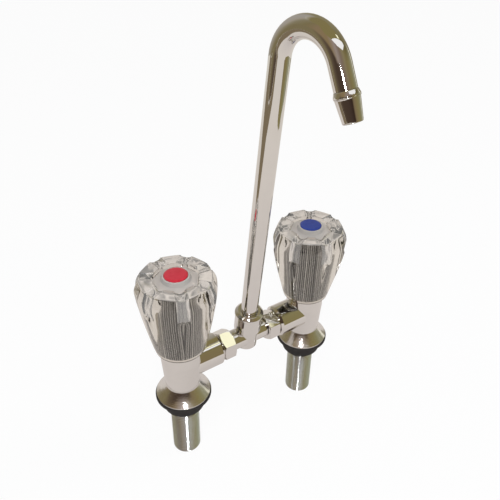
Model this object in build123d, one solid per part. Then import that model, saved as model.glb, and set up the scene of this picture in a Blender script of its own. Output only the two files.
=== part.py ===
from build123d import *
import math
import os

# Basin mixer tap: two rising-spindle valves, a bridge and a swan-neck swivel spout.
# Millimetres. X runs along the bridge with the hot valve at -X, -Y faces the user,
# and Z = 0 is the basin's deck, midway between the two tap holes.
# Screw threads are left as plain cylinders of their major diameter.

# Driving dimensions of the layout
CENTRES = 110.0
BRIDGE_Z = 29.3
SPOUT_LEAN = 7.0
SPOUT_SWING = -82.0
SCREW_FIT = 0.05
LOOSE_FIT = 0.15

# Valve body: pipe tail, flange and waisted barrel
TAIL_R = 20.955 / 2
TAIL_BOTTOM = -57.0
TAIL_NECK_R = 10.2
TAIL_NECK_Z = -12.0
TAIL_BORE_R = 6.5
FLANGE_R = 19.5
FLANGE_Z = 3.0
FLANGE_EDGE = 1.2
CONE_HOLLOW = 30.0
WAIST_R = 12.6
WAIST_Z = 12.4
BARREL_R = 14.2
BARREL_Z = 36.0
BARREL_TOP = 50.5
SEAT_R = 4.5
SEAT_Z = 22.0
CHAMBER_R = 9.35
CHAMBER_FLOOR = 20.0
CHAMBER_TOP = 38.0
BONNET_THREAD_R = 10.45
ARM_R = 12.0
ARM_BORE_R = 5.0

# Rubber washer under the flange, with a spigot that centres in the tap hole
WASHER_R = 20.2
SPIGOT_R = 15.0
SPIGOT_BOTTOM = -10.5

# Bridge unions, as distances from the middle of the tap along X
ARM_END = 25.5
SPIGOT_END = 19.5
TAPPED_R = 8.3
NUT_OUTER = 24.5
NUT_INNER = 15.0
NUT_LIP = 1.6
NUT_FLATS = 20.0
TEE_ARM_END = 18.0
TEE_ARM_R = 6.1
TEE_SHOULDER = 14.5
TEE_SHOULDER_R = 7.5
RING_THICK = 0.8
RING_R = 7.6

# Tee and spout, as distances along the leaning spout axis from the bridge axis
TEE_R = 8.25
TEE_BOTTOM = -12.0
TEE_TOP = 16.0
TEE_BORE_R = 6.5
COLLAR_BOTTOM = 8.0
COLLAR_TOP = 26.3
COLLAR_R = 10.0
COLLAR_RIM_R = 10.5
COLLAR_LIP = 2.0
FERRULE_BOTTOM = 5.0
SHOULDER_TOP = 18.5
SLEEVE_TOP = 22.75
SLIP_RING_BOTTOM = 22.8
TUBE_R = 6.1
TUBE_WALL = 1.2
BEND_START = 217.4
BEND_R = 21.0
BEND_SWEEP = 149.0
TUBE_TAIL = 12.9
NOZZLE_FLARE = 2.6
NOZZLE_LENGTH = 13.5
NOZZLE_R = 7.0
NOZZLE_TIP_R = 5.1
NOZZLE_BORE_R = 4.0

# Headworks: bonnet, rising spindle, jumper and seat washer
BONNET_WASHER_TOP = 52.0
BONNET_HEX = 24.0
BONNET_HEX_TOP = 56.5
BONNET_NECK_R = 8.25
BONNET_TOP = 68.0
SPINDLE_THREAD_R = 5.95
SPINDLE_THREAD_Z = 39.0
SPINDLE_THREAD_TOP = 47.0
BONNET_BORE_TOP = 53.5
STEM_R = 4.5
STEM_TOP = 69.0
HEAD_R = 4.0
HEAD_FLATS = 6.6
HEAD_TOP = 92.0
PLUNGER_R = 4.9
JUMPER_R = 6.5
JUMPER_STEM_R = 3.0
JUMPER_STEM_TOP = 44.0
JUMPER_STUD_R = 2.0
SEAT_WASHER_R = 6.2
SEAT_WASHER_THICK = 3.0

# Clear knob, its ribbed metallised liner, and what holds them to the spindle
LOBES = 7
KNOB_FOOT_Z = 47.5
KNOB_SHOULDER_Z = 88.0
KNOB_TOP_Z = 107.0
KNOB_SWELL = 1.1
KNOB_RADII = (17.4, 27.7, 25.6)
PANEL_APOTHEMS = (17.5, 26.1, 22.9)
PANEL_REACH = 32.0
FLUTE_R = 5.4
FLUTE_CENTRE_R = 30.4
RECESS_Z = 104.0
RECESS_CORNER_R = 14.5
HUB_R = 9.5
HUB_TOP = 108.0
LINER_FOOT_Z = 49.5
LINER_FOOT_R = 15.45
LINER_TOP_R = 16.0
LINER_TOP_Z = 96.0
LINER_RIBS = 72
RIB_DEPTH = 0.5
LINER_WALL = 0.6
LINER_HUB_R = 7.0
LINER_HUB_Z = 72.0
DISC_R = 7.75
DISC_TOP = 109.0
SCREW_R = 2.0
SCREW_HEAD_R = 4.0
SCREW_SEAT_Z = 99.0
HOT_FLUTE_AZIMUTH = -113.0
COLD_FLUTE_AZIMUTH = -127.0 + 180.0 / LOBES


def turned(*outline):
    """Solid of revolution about Z of a closed (radius, height) outline."""
    return revolve(Plane.XZ * Polygon(*outline, align=None), Axis.Z)


def drum(radius, bottom, top):
    """Cylinder about Z between two heights."""
    return Pos(0, 0, bottom) * Cylinder(radius, top - bottom, align=(Align.CENTER, Align.CENTER, Align.MIN))


def along_x(shape):
    """Turns a shape made about Z so that its Z lies along +X at the bridge's height."""
    return Pos(0, 0, BRIDGE_Z) * Rot(0, 90, 0) * shape


def hexagon_bar(flats, bottom, top, bevel):
    """Hexagon bar about Z with both ends turned to a bevel."""
    bar = extrude(RegularPolygon(flats / 2, 6, major_radius=False), top - bottom)
    corner = flats / math.sqrt(3) + 0.01
    barrel = turned((0, bottom), (corner - bevel, bottom), (corner, bottom + bevel / 2),
                    (corner, top - bevel / 2), (corner - bevel, top), (0, top))
    return (Pos(0, 0, bottom) * bar) & barrel


def seal_ring(groove_r, bore_r, height):
    """O-ring that fills a groove out to the bore round it, with a hair of clearance."""
    return Pos(0, 0, height) * Torus((groove_r + bore_r) / 2, (bore_r - groove_r) / 2 - 0.02)


def lobed_polygon(corner_r, azimuth):
    """Regular polygon with one corner at each flute."""
    steps = [math.radians(azimuth + 360 * lobe / LOBES) for lobe in range(LOBES)]
    return Polygon(*[(corner_r * math.cos(a), corner_r * math.sin(a)) for a in steps], align=None)


# Valve pieces: the axis is Z, and the arm points along +X
def valve_body():
    """Chromed brass body: threaded tail, flange, barrel and the arm to the bridge."""
    cone_top = (WAIST_R, WAIST_Z)
    cone_foot = (FLANGE_R - 0.3, FLANGE_Z + FLANGE_EDGE)
    with BuildSketch(Plane.XZ) as outline:
        with BuildLine():
            Polyline(cone_foot, (FLANGE_R, FLANGE_Z + FLANGE_EDGE - 0.3), (FLANGE_R, FLANGE_Z),
                     (TAIL_NECK_R, FLANGE_Z), (TAIL_NECK_R, TAIL_NECK_Z), (TAIL_R, TAIL_NECK_Z),
                     (TAIL_R, TAIL_BOTTOM + 1.2), (TAIL_R - 1.2, TAIL_BOTTOM),
                     (0, TAIL_BOTTOM), (0, BARREL_TOP), (BARREL_R - 0.4, BARREL_TOP),
                     (BARREL_R, BARREL_TOP - 0.4), (BARREL_R, BARREL_Z), cone_top)
            RadiusArc(cone_top, cone_foot, -CONE_HOLLOW)
        make_face()
    body = revolve(outline.sketch, Axis.Z)

    arm = turned((0, 0), (ARM_R, 0), (ARM_R, CENTRES / 2 - ARM_END - 1.5),
                 (ARM_R - 1.5, CENTRES / 2 - ARM_END), (0, CENTRES / 2 - ARM_END))
    spigot = drum(TAPPED_R, CENTRES / 2 - ARM_END - 1, CENTRES / 2 - SPIGOT_END)
    body += along_x(arm + spigot)

    body -= drum(TAIL_BORE_R, TAIL_BOTTOM, SEAT_Z - 6)
    body -= drum(SEAT_R, SEAT_Z - 7, SEAT_Z)
    body -= turned((0, SEAT_Z), (SEAT_R + 1.2, SEAT_Z), (SEAT_R + 2.4, CHAMBER_FLOOR),
                   (CHAMBER_R, CHAMBER_FLOOR), (CHAMBER_R, CHAMBER_TOP), (0, CHAMBER_TOP))
    body -= drum(BONNET_THREAD_R, CHAMBER_TOP, BARREL_TOP)
    body -= along_x(drum(ARM_BORE_R, 0, CENTRES / 2 - SPIGOT_END))
    return body


def base_washer():
    """Rubber washer: a flat ring under the flange and a spigot round the tail."""
    bore = TAIL_NECK_R + SCREW_FIT
    return turned((bore, FLANGE_Z), (WASHER_R - 0.6, FLANGE_Z), (WASHER_R, FLANGE_Z - 0.6), (WASHER_R, 0.6),
                  (WASHER_R - 0.6, 0), (SPIGOT_R, 0), (SPIGOT_R, SPIGOT_BOTTOM + 0.8),
                  (SPIGOT_R - 0.8, SPIGOT_BOTTOM), (bore, SPIGOT_BOTTOM))


def bonnet():
    """Brass bonnet screwed into the barrel: hexagon, neck, spindle thread and seal bore."""
    hexagon = hexagon_bar(BONNET_HEX, BONNET_WASHER_TOP, BONNET_HEX_TOP, 1.6)
    neck = turned((0, BONNET_HEX_TOP), (BONNET_NECK_R, BONNET_HEX_TOP), (BONNET_NECK_R, BONNET_TOP - 1),
                  (BONNET_NECK_R - 1, BONNET_TOP), (0, BONNET_TOP))
    thread = drum(BONNET_THREAD_R - SCREW_FIT, CHAMBER_TOP + 0.2, BONNET_WASHER_TOP)
    body = hexagon + neck + thread
    body -= drum(SPINDLE_THREAD_R + SCREW_FIT, CHAMBER_TOP, BONNET_BORE_TOP)
    return body - drum(STEM_R + SCREW_FIT, BONNET_BORE_TOP, BONNET_TOP)


def bonnet_washer():
    """Fibre washer between the barrel and the bonnet's hexagon."""
    return drum(BONNET_HEX / 2, BARREL_TOP, BONNET_WASHER_TOP) - drum(
        BONNET_THREAD_R + SCREW_FIT, BARREL_TOP, BONNET_WASHER_TOP)


SEAL_GROOVE_R = 3.3
SEAL_HEIGHTS = (57.4, 60.9)
SEAT_WASHER_Z = SEAT_Z + 0.03
JUMPER_Z = SEAT_WASHER_Z + SEAT_WASHER_THICK
PLUNGER_Z = JUMPER_Z + 2.0 + SCREW_FIT


def spindle():
    """Rising spindle: plunger, screw, sealed stem and the flatted head that drives the knob."""
    groove = 0.9
    profile = [(0, PLUNGER_Z), (PLUNGER_R, PLUNGER_Z), (PLUNGER_R, SPINDLE_THREAD_Z),
               (SPINDLE_THREAD_R, SPINDLE_THREAD_Z), (SPINDLE_THREAD_R, SPINDLE_THREAD_TOP),
               (STEM_R, SPINDLE_THREAD_TOP)]
    for height in SEAL_HEIGHTS:
        profile += [(STEM_R, height - groove), (SEAL_GROOVE_R, height - groove),
                    (SEAL_GROOVE_R, height + groove), (STEM_R, height + groove)]
    profile += [(STEM_R, STEM_TOP), (0, STEM_TOP)]
    head = drum(HEAD_R, STEM_TOP, HEAD_TOP) & (Pos(0, 0, STEM_TOP) * Box(
        HEAD_FLATS, HEAD_FLATS, HEAD_TOP - STEM_TOP, align=(Align.CENTER, Align.CENTER, Align.MIN)))
    body = turned(*profile) + head
    body -= drum(JUMPER_STEM_R + SCREW_FIT, PLUNGER_Z, JUMPER_STEM_TOP + 0.5)
    return body - drum(SCREW_R, HEAD_TOP - 13, HEAD_TOP)


def spindle_seals():
    """The two O-rings that seal the stem in the bonnet."""
    return Compound([seal_ring(SEAL_GROOVE_R, STEM_R + SCREW_FIT, height) for height in SEAL_HEIGHTS])


def jumper():
    """Loose valve: a plate with a stem above that hangs in the spindle and a stud below."""
    plate_top = JUMPER_Z + 2.0
    return turned((0, SEAT_Z - 3.2), (JUMPER_STUD_R, SEAT_Z - 3.2), (JUMPER_STUD_R, JUMPER_Z),
                  (JUMPER_R, JUMPER_Z), (JUMPER_R, plate_top - 0.5), (JUMPER_R - 0.5, plate_top),
                  (JUMPER_STEM_R, plate_top), (JUMPER_STEM_R, JUMPER_STEM_TOP - 0.5),
                  (JUMPER_STEM_R - 0.5, JUMPER_STEM_TOP), (0, JUMPER_STEM_TOP))


def seat_washer():
    """Rubber washer that closes on the seat."""
    return drum(SEAT_WASHER_R, SEAT_WASHER_Z, JUMPER_Z) - drum(
        JUMPER_STUD_R + SCREW_FIT, SEAT_WASHER_Z, JUMPER_Z)


def washer_nut():
    """Small nut under the seat washer. It passes through the seat's hole."""
    body = hexagon_bar(7.0, SEAT_Z - 2.4, SEAT_WASHER_Z, 0.5)
    return body - drum(JUMPER_STUD_R + SCREW_FIT / 2, SEAT_Z - 3, SEAT_WASHER_Z)


def knob_side(radii, back):
    """Upright face from the line x = -back out to the knob's side, which swells and closes in."""
    foot_r, shoulder_r, top_r = radii
    middle = ((foot_r + shoulder_r) / 2 + KNOB_SWELL, (KNOB_FOOT_Z + KNOB_SHOULDER_Z) / 2)
    taper = ThreePointArc((foot_r, KNOB_FOOT_Z), middle, (shoulder_r, KNOB_SHOULDER_Z))
    crown = TangentArc((shoulder_r, KNOB_SHOULDER_Z), (top_r, KNOB_TOP_Z), tangent=taper % 1)
    rest = Polyline((top_r, KNOB_TOP_Z), (-back, KNOB_TOP_Z), (-back, KNOB_FOOT_Z), (foot_r, KNOB_FOOT_Z))
    return Plane.XZ * make_face(taper + crown + rest)


def knob(flute_azimuth):
    """Clear knob: a swelling round body cut by seven panels, with flutes that run out downwards."""
    body = revolve(knob_side(KNOB_RADII, 0), Axis.Z)
    panel = extrude(knob_side(PANEL_APOTHEMS, PANEL_REACH), PANEL_REACH, both=True)
    flute = Pos(FLUTE_CENTRE_R, 0, 0) * drum(FLUTE_R, KNOB_FOOT_Z, KNOB_TOP_Z + 1)
    for lobe in range(LOBES):
        body &= Rot(0, 0, flute_azimuth + 360 * (lobe + 0.5) / LOBES) * panel
    for lobe in range(LOBES):
        body -= Rot(0, 0, flute_azimuth + 360 * lobe / LOBES) * flute

    pocket = Pos(0, 0, RECESS_Z) * lobed_polygon(RECESS_CORNER_R, flute_azimuth)
    body -= extrude(pocket, KNOB_TOP_Z - RECESS_Z, taper=-12)
    body += drum(HUB_R, RECESS_Z - 1, HUB_TOP)

    foot_r = LINER_FOOT_R + LOOSE_FIT
    roof = LINER_TOP_Z + LOOSE_FIT
    body -= turned((0, KNOB_FOOT_Z), (foot_r, KNOB_FOOT_Z), (foot_r, LINER_FOOT_Z),
                   (LINER_TOP_R + LOOSE_FIT, roof), (0, roof))
    body -= drum(SCREW_R + LOOSE_FIT, LINER_TOP_Z, SCREW_SEAT_Z)
    body -= drum(SCREW_HEAD_R + LOOSE_FIT, SCREW_SEAT_Z, HUB_TOP)
    return body - drum(DISC_R + SCREW_FIT, HUB_TOP - 0.6, HUB_TOP)


def knob_liner():
    """Metallised liner inside the knob: a ribbed cup with a hub that fits the spindle's head."""
    def ribbed(radius, height):
        points = []
        for step in range(2 * LINER_RIBS):
            angle = math.pi * step / LINER_RIBS
            r = radius - RIB_DEPTH * (step % 2)
            points.append((r * math.cos(angle), r * math.sin(angle)))
        return Pos(0, 0, height) * Polygon(*points, align=None)

    body = loft([ribbed(LINER_FOOT_R, LINER_FOOT_Z), ribbed(LINER_TOP_R, LINER_TOP_Z)], ruled=True)
    inner = RIB_DEPTH + LINER_WALL
    slope = (LINER_TOP_R - LINER_FOOT_R) / (LINER_TOP_Z - LINER_FOOT_Z)
    ceiling = LINER_TOP_Z - 2
    inner_top = LINER_TOP_R - 2 * slope - inner
    body -= turned((0, LINER_FOOT_Z), (LINER_FOOT_R - inner, LINER_FOOT_Z), (inner_top, ceiling),
                   (0, ceiling))
    body += drum(LINER_HUB_R, LINER_HUB_Z, LINER_TOP_Z - 1)
    socket = drum(HEAD_R + SCREW_FIT, LINER_HUB_Z, HEAD_TOP) & (Pos(0, 0, LINER_HUB_Z) * Box(
        HEAD_FLATS + 2 * SCREW_FIT, HEAD_FLATS + 2 * SCREW_FIT, HEAD_TOP - LINER_HUB_Z,
        align=(Align.CENTER, Align.CENTER, Align.MIN)))
    body -= socket
    return body - drum(SCREW_R + LOOSE_FIT, HEAD_TOP - 1, LINER_TOP_Z)


def knob_screw():
    """Cheese-head screw that clamps knob and liner to the spindle."""
    head = drum(SCREW_HEAD_R, SCREW_SEAT_Z, SCREW_SEAT_Z + 2.6)
    slot = Pos(0, 0, SCREW_SEAT_Z + 2.0) * Box(
        2.2 * SCREW_HEAD_R, 1.0, 1.4, align=(Align.CENTER, Align.CENTER, Align.MIN))
    return head + drum(SCREW_R - 0.03, HEAD_TOP - 12, SCREW_SEAT_Z) - slot


def index_disc():
    """Domed colour disc that snaps over the screw, with a ring that fits the screw's bore."""
    foot = HUB_TOP - 0.6
    return turned((0, foot), (SCREW_HEAD_R - 1, foot), (SCREW_HEAD_R - 1, foot - 1.8),
                  (SCREW_HEAD_R + 0.1, foot - 1.8), (SCREW_HEAD_R + 0.1, foot), (DISC_R, foot),
                  (DISC_R, DISC_TOP - 0.7), (DISC_R - 1.2, DISC_TOP - 0.15), (0, DISC_TOP))


# Union pieces: made along Z, then laid along +X from the middle of the tap
def union_nut():
    """Chromed hexagon nut that draws the tee's arm onto the valve's spigot."""
    nut = hexagon_bar(NUT_FLATS, NUT_INNER, NUT_OUTER, 1.6)
    nut -= drum(TEE_ARM_R + 0.1, NUT_INNER, NUT_INNER + NUT_LIP)
    return along_x(nut - drum(TAPPED_R + SCREW_FIT, NUT_INNER + NUT_LIP, NUT_OUTER))


def union_ring():
    """Split ring in the arm's groove, which the nut's lip pulls against."""
    inner = NUT_INNER + NUT_LIP
    ring = drum(RING_R, inner, inner + RING_THICK) - drum(TEE_ARM_R - 0.5, inner, inner + RING_THICK)
    gap = Pos(0, TEE_ARM_R, inner + RING_THICK / 2) * Box(2.0, 5.0, 2 * RING_THICK)
    return along_x(ring - gap)


def union_seal():
    """Flat washer between the tee's arm and the valve's spigot."""
    return along_x(drum(7.3, TEE_ARM_END, SPIGOT_END) - drum(4.5, TEE_ARM_END, SPIGOT_END))


# Spout pieces: the axis is Z from the bridge axis up, and the spout points along +X
def tee_body():
    """Tee that joins both arms under the spout, with a domed foot."""
    with BuildSketch(Plane.XZ) as outline:
        with BuildLine():
            Polyline((TEE_R, TEE_BOTTOM + 4), (TEE_R, TEE_TOP), (0, TEE_TOP), (0, TEE_BOTTOM))
            RadiusArc((0, TEE_BOTTOM), (TEE_R, TEE_BOTTOM + 4), -10.6)
        make_face()
    body = revolve(outline.sketch, Axis.Z)
    for side in (-90, 90):
        arm = drum(TEE_SHOULDER_R, 0, TEE_SHOULDER) + drum(TEE_ARM_R, 0, TEE_ARM_END)
        groove = NUT_INNER + NUT_LIP
        arm -= drum(TEE_ARM_R, groove, groove + RING_THICK) - drum(
            TEE_ARM_R - 0.55, groove, groove + RING_THICK)
        body += Rot(0, side, 0) * arm
    body -= drum(TEE_BORE_R, TEE_BOTTOM + 4, TEE_TOP)
    for side in (-90, 90):
        body -= Rot(0, side, 0) * drum(ARM_BORE_R - 1, 0, TEE_ARM_END)
    return body


def spout_collar():
    """Round collar nut screwed over the tee. Its lip holds the spout's ferrule down."""
    lip = COLLAR_TOP - COLLAR_LIP
    return turned((TEE_R + SCREW_FIT, COLLAR_BOTTOM), (COLLAR_R - 0.5, COLLAR_BOTTOM),
                  (COLLAR_R, COLLAR_BOTTOM + 0.5), (COLLAR_R, lip - 2.2), (COLLAR_RIM_R, lip - 1.6),
                  (COLLAR_RIM_R, lip), (COLLAR_RIM_R - 2.0, COLLAR_TOP), (TUBE_R + LOOSE_FIT, COLLAR_TOP),
                  (TUBE_R + LOOSE_FIT, lip), (TEE_R + SCREW_FIT, lip))


def spout_slip_ring():
    """Low-friction split ring that the ferrule turns against, under the collar's lip."""
    lip = COLLAR_TOP - COLLAR_LIP
    ring = drum(TEE_R, SLIP_RING_BOTTOM, lip) - drum(TUBE_R + LOOSE_FIT, SLIP_RING_BOTTOM, lip)
    return ring - Pos(TEE_R, 0, lip) * Box(6.0, 1.5, 6.0)


FERRULE_GROOVE_R = 4.95
FERRULE_SEALS = (8.2, 12.6)


def spout_ferrule():
    """Brass foot of the spout: grooved stem in the tee, shoulder, and a sleeve round the tube."""
    stem_r = TEE_BORE_R - SCREW_FIT
    groove = 1.0
    profile = [(4.2, FERRULE_BOTTOM), (stem_r - 0.5, FERRULE_BOTTOM), (stem_r, FERRULE_BOTTOM + 0.5)]
    for height in FERRULE_SEALS:
        profile += [(stem_r, height - groove), (FERRULE_GROOVE_R, height - groove),
                    (FERRULE_GROOVE_R, height + groove), (stem_r, height + groove)]
    profile += [(stem_r, TEE_TOP + SCREW_FIT), (TEE_R - 0.1, TEE_TOP + SCREW_FIT), (TEE_R - 0.1, SHOULDER_TOP),
                (7.7, SHOULDER_TOP), (7.7, SLEEVE_TOP), (TUBE_R, SLEEVE_TOP), (TUBE_R, SHOULDER_TOP),
                (4.2, SHOULDER_TOP)]
    return turned(*profile)


def spout_seals():
    """The two O-rings that seal the ferrule in the tee."""
    return Compound([seal_ring(FERRULE_GROOVE_R, TEE_BORE_R, height) for height in FERRULE_SEALS])


def tube_path():
    """Centreline of the tube: riser, swan-neck bend and a short straight to the nozzle."""
    end = math.radians(180 - BEND_SWEEP)
    bend_end = (BEND_R + BEND_R * math.cos(end), BEND_START + BEND_R * math.sin(end))
    tube_end = (bend_end[0] + TUBE_TAIL * math.sin(end), bend_end[1] - TUBE_TAIL * math.cos(end))
    riser = Line((0, SHOULDER_TOP), (0, BEND_START))
    bend = CenterArc((BEND_R, BEND_START), BEND_R, 180, -BEND_SWEEP)
    return Plane.XZ * (riser + bend + Line(bend_end, tube_end)), tube_end


def spout_tube():
    """Chromed swan-neck tube."""
    path, _ = tube_path()
    wall = Circle(TUBE_R) - Circle(TUBE_R - TUBE_WALL)
    return sweep(Pos(0, 0, SHOULDER_TOP) * wall, path=path)


def at_nozzle(shape):
    """Moves a shape made about Z to the tube's end, with its +Z along the flow."""
    _, tube_end = tube_path()
    return Pos(tube_end[0], 0, tube_end[1]) * Rot(0, BEND_SWEEP, 0) * shape


def spout_nozzle():
    """Flared nozzle with a spigot brazed inside the tube's end."""
    spigot_r = TUBE_R - TUBE_WALL - 0.01
    tip = NOZZLE_FLARE + NOZZLE_LENGTH
    return at_nozzle(turned(
        (NOZZLE_BORE_R, -5), (spigot_r, -5), (spigot_r, 0), (TUBE_R + 0.05, 0), (NOZZLE_R, NOZZLE_FLARE),
        (NOZZLE_R, NOZZLE_FLARE + 0.8), (NOZZLE_R - 0.35, NOZZLE_FLARE + 1.2),
        (NOZZLE_TIP_R + 0.3, tip - 0.5), (NOZZLE_TIP_R, tip), (NOZZLE_BORE_R, tip)))


def nozzle_insert():
    """Flow straightener: a thin ring with four crossed vanes in the nozzle's mouth."""
    tip = NOZZLE_FLARE + NOZZLE_LENGTH
    top = tip - 7.0
    bottom = tip - 1.0
    ring = drum(NOZZLE_BORE_R - 0.02, top, bottom) - drum(NOZZLE_BORE_R - 0.6, top, bottom)
    vanes = Pos(0, 0, (top + bottom) / 2) * Box(2 * NOZZLE_BORE_R - 0.8, 0.5, bottom - top)
    return at_nozzle(ring + vanes + Rot(0, 0, 90) * vanes)


def place_spout(shape, swing=SPOUT_SWING):
    """Leans a spout piece forward about the bridge axis, after swinging it about its own axis."""
    return Pos(0, 0, BRIDGE_Z) * Rot(SPOUT_LEAN, 0, 0) * Rot(0, 0, swing) * shape


parts = {}
SIDES = {"hot": (-CENTRES / 2, 0, HOT_FLUTE_AZIMUTH), "cold": (CENTRES / 2, 180, COLD_FLUTE_AZIMUTH)}
for side, (x, arm_turn, flute_azimuth) in SIDES.items():
    valve = Pos(x, 0, 0) * Rot(0, 0, arm_turn)
    for make in (valve_body, base_washer, bonnet, bonnet_washer, spindle, spindle_seals,
                 jumper, seat_washer, washer_nut, knob_liner, knob_screw, index_disc):
        parts[side + "_" + make.__name__] = valve * make()
    parts[side + "_knob"] = Pos(x, 0, 0) * knob(flute_azimuth)
    for make in (union_nut, union_ring, union_seal):
        parts[side + "_" + make.__name__] = Rot(0, 0, 180 - arm_turn) * make()

for make in (tee_body, spout_collar, spout_slip_ring):
    parts[make.__name__] = place_spout(make(), swing=0)
for make in (spout_ferrule, spout_seals, spout_tube, spout_nozzle, nozzle_insert):
    parts[make.__name__] = place_spout(make())

os.makedirs("parts", exist_ok=True)
for name, shape in parts.items():
    shape.label = name
    export_step(shape, "parts/" + name + ".step")
    print(name, len(shape.solids()), round(shape.volume, 1))
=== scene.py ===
# %% [markdown]
# # A bridge basin mixer with clear fluted knobs
#
# The tap was built as a CAD assembly, and this script dresses it. Every CAD piece stays where the
# assembly puts it. The work here is finish: bright chrome, clear acrylic, rubber and brass, a real
# screw thread on the tails, and the light that makes chrome look like chrome.

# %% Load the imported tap
import math

import bmesh
import bpy
from mathutils import Matrix, Vector


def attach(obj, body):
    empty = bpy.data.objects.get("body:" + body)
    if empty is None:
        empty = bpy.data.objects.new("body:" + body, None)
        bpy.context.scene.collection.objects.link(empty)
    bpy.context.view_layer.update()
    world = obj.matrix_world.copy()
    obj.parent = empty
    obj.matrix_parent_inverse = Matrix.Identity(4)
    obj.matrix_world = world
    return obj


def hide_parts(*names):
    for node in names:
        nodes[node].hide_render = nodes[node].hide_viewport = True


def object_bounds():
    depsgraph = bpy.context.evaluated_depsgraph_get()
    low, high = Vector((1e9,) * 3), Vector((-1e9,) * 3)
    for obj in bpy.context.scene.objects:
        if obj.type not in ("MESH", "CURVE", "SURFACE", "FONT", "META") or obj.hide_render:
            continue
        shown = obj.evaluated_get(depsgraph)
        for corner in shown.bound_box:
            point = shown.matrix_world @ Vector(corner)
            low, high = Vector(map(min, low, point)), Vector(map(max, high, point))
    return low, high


MM = 0.001
# Each valve's axis stands at this X, in mm.
VALVES = {"hot": -55, "cold": 55}
VALVE_X = VALVES["cold"] * MM

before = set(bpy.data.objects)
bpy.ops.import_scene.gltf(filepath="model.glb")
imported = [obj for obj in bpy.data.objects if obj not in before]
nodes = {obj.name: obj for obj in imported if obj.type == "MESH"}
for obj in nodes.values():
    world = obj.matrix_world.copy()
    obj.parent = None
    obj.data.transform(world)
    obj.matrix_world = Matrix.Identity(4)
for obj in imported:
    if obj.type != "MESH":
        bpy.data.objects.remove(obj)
cad_low, cad_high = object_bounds()
print("nodes", len(nodes), "size in mm", [round(v / MM, 1) for v in cad_high - cad_low])

# %% [markdown]
# ## The camera
#
# The photograph was taken from close by and from above, so the far tail looks smaller than the near
# one. A long lens would lose that. The camera's place, direction and lens come from fitting the
# tap's known sizes to the photograph. A small lens shift stands for the crop.

# %% Camera
CAMERA_PLACE = Vector((-185.1, -270.3, 334.1)) * MM
CAMERA_HEADING = math.radians(37.21)
CAMERA_DIP = math.radians(34.05)
CAMERA_ROLL = math.radians(2.54)
LENS_MM = 42.09
SENSOR_MM = 36
SHIFT = (-0.0435, -0.0136)


def add_object(name, data):
    """Puts a mesh, camera or lamp into the scene as an object."""
    thing = bpy.data.objects.new(name, data)
    bpy.context.scene.collection.objects.link(thing)
    return thing


def camera_axes():
    """Right, up and forward directions of the camera in the tap's frame."""
    forward = Vector((math.sin(CAMERA_HEADING) * math.cos(CAMERA_DIP),
                      math.cos(CAMERA_HEADING) * math.cos(CAMERA_DIP), -math.sin(CAMERA_DIP)))
    level = forward.cross(Vector((0, 0, 1))).normalized()
    upright = level.cross(forward)
    right = math.cos(CAMERA_ROLL) * level + math.sin(CAMERA_ROLL) * upright
    return right, right.cross(forward), forward


def add_camera():
    """The scene's camera, as it was fitted to the photograph."""
    camera = add_object("camera", bpy.data.cameras.new("camera"))
    right, up, forward = camera_axes()
    turn = Matrix((right, up, -forward)).transposed().to_4x4()
    camera.matrix_world = Matrix.Translation(CAMERA_PLACE) @ turn
    camera.data.lens = LENS_MM
    camera.data.sensor_width = SENSOR_MM
    camera.data.shift_x, camera.data.shift_y = SHIFT
    camera.data.clip_start = 10 * MM
    bpy.context.scene.camera = camera
    return camera


camera = add_camera()
print("camera to origin in mm", round(camera.location.length / MM))

# %% [markdown]
# ## Node helpers
#
# Materials are built from nodes. Small helpers keep that readable: they add a node and fill its
# sockets, do a sum, stretch a value, mix two colours, or start a material and hand back its
# Principled shader.

# %% Node helpers


def add_node(tree, kind, inputs=None, **settings):
    """Adds a node, sets its properties, then fills or links its input sockets."""
    node = tree.nodes.new(kind)
    for name, value in settings.items():
        setattr(node, name, value)
    for name, value in (inputs or {}).items():
        socket = node.inputs[name]
        if isinstance(value, bpy.types.NodeSocket):
            tree.links.new(value, socket)
        else:
            socket.default_value = value
    return node


def calculate(tree, operation, first, second=0.0, **settings):
    """Result of a sum over one or two values."""
    return add_node(tree, "ShaderNodeMath", {0: first, 1: second}, operation=operation,
                    **settings).outputs[0]


def stretch(tree, value, low, high, to_low=0.0, to_high=1.0, **settings):
    """A value moved from one range to another and held inside it."""
    return add_node(tree, "ShaderNodeMapRange",
                    {"Value": value, "From Min": low, "From Max": high, "To Min": to_low,
                     "To Max": to_high}, **settings).outputs["Result"]


def mix(tree, kind, mask, without, with_mask):
    """Mixes two values (FLOAT) or two colours (RGBA) by a mask from 0 to 1."""
    return add_node(tree, "ShaderNodeMix", {"Factor": mask, "A": without, "B": with_mask},
                    data_type=kind).outputs["Result"]


def between(tree, mask, dark, light):
    """A colour that runs from dark to light with a mask."""
    return mix(tree, "RGBA", mask, (*dark, 1), (*light, 1))


def object_place(tree):
    """Position in the object's frame. For a piece of the tap that is the tap's frame."""
    return add_node(tree, "ShaderNodeTexCoord").outputs["Object"]


def split(tree, vector):
    """The X, Y and Z of a vector."""
    return add_node(tree, "ShaderNodeSeparateXYZ", {"Vector": vector}).outputs


def bump(tree, shader, height, strength, distance):
    """Feeds a height into the shader's normal."""
    node = add_node(tree, "ShaderNodeBump",
                    {"Height": height, "Strength": strength, "Distance": distance})
    tree.links.new(node.outputs["Normal"], shader.inputs["Normal"])


def new_material(name):
    """A material with only its Principled shader and output."""
    material = bpy.data.materials.new(name)
    material.use_nodes = True
    return material, material.node_tree, material.node_tree.nodes["Principled BSDF"]


def paint(material, *names):
    """Gives CAD nodes or pieces one material."""
    for name in names:
        mesh = bpy.data.objects[name].data
        mesh.materials.clear()
        mesh.materials.append(material)


def both(*names):
    """The hot and cold names of pieces that each valve has."""
    return [side + "_" + name for name in names for side in VALVES]


print("names that both('knob') gives", both("knob"))

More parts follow.
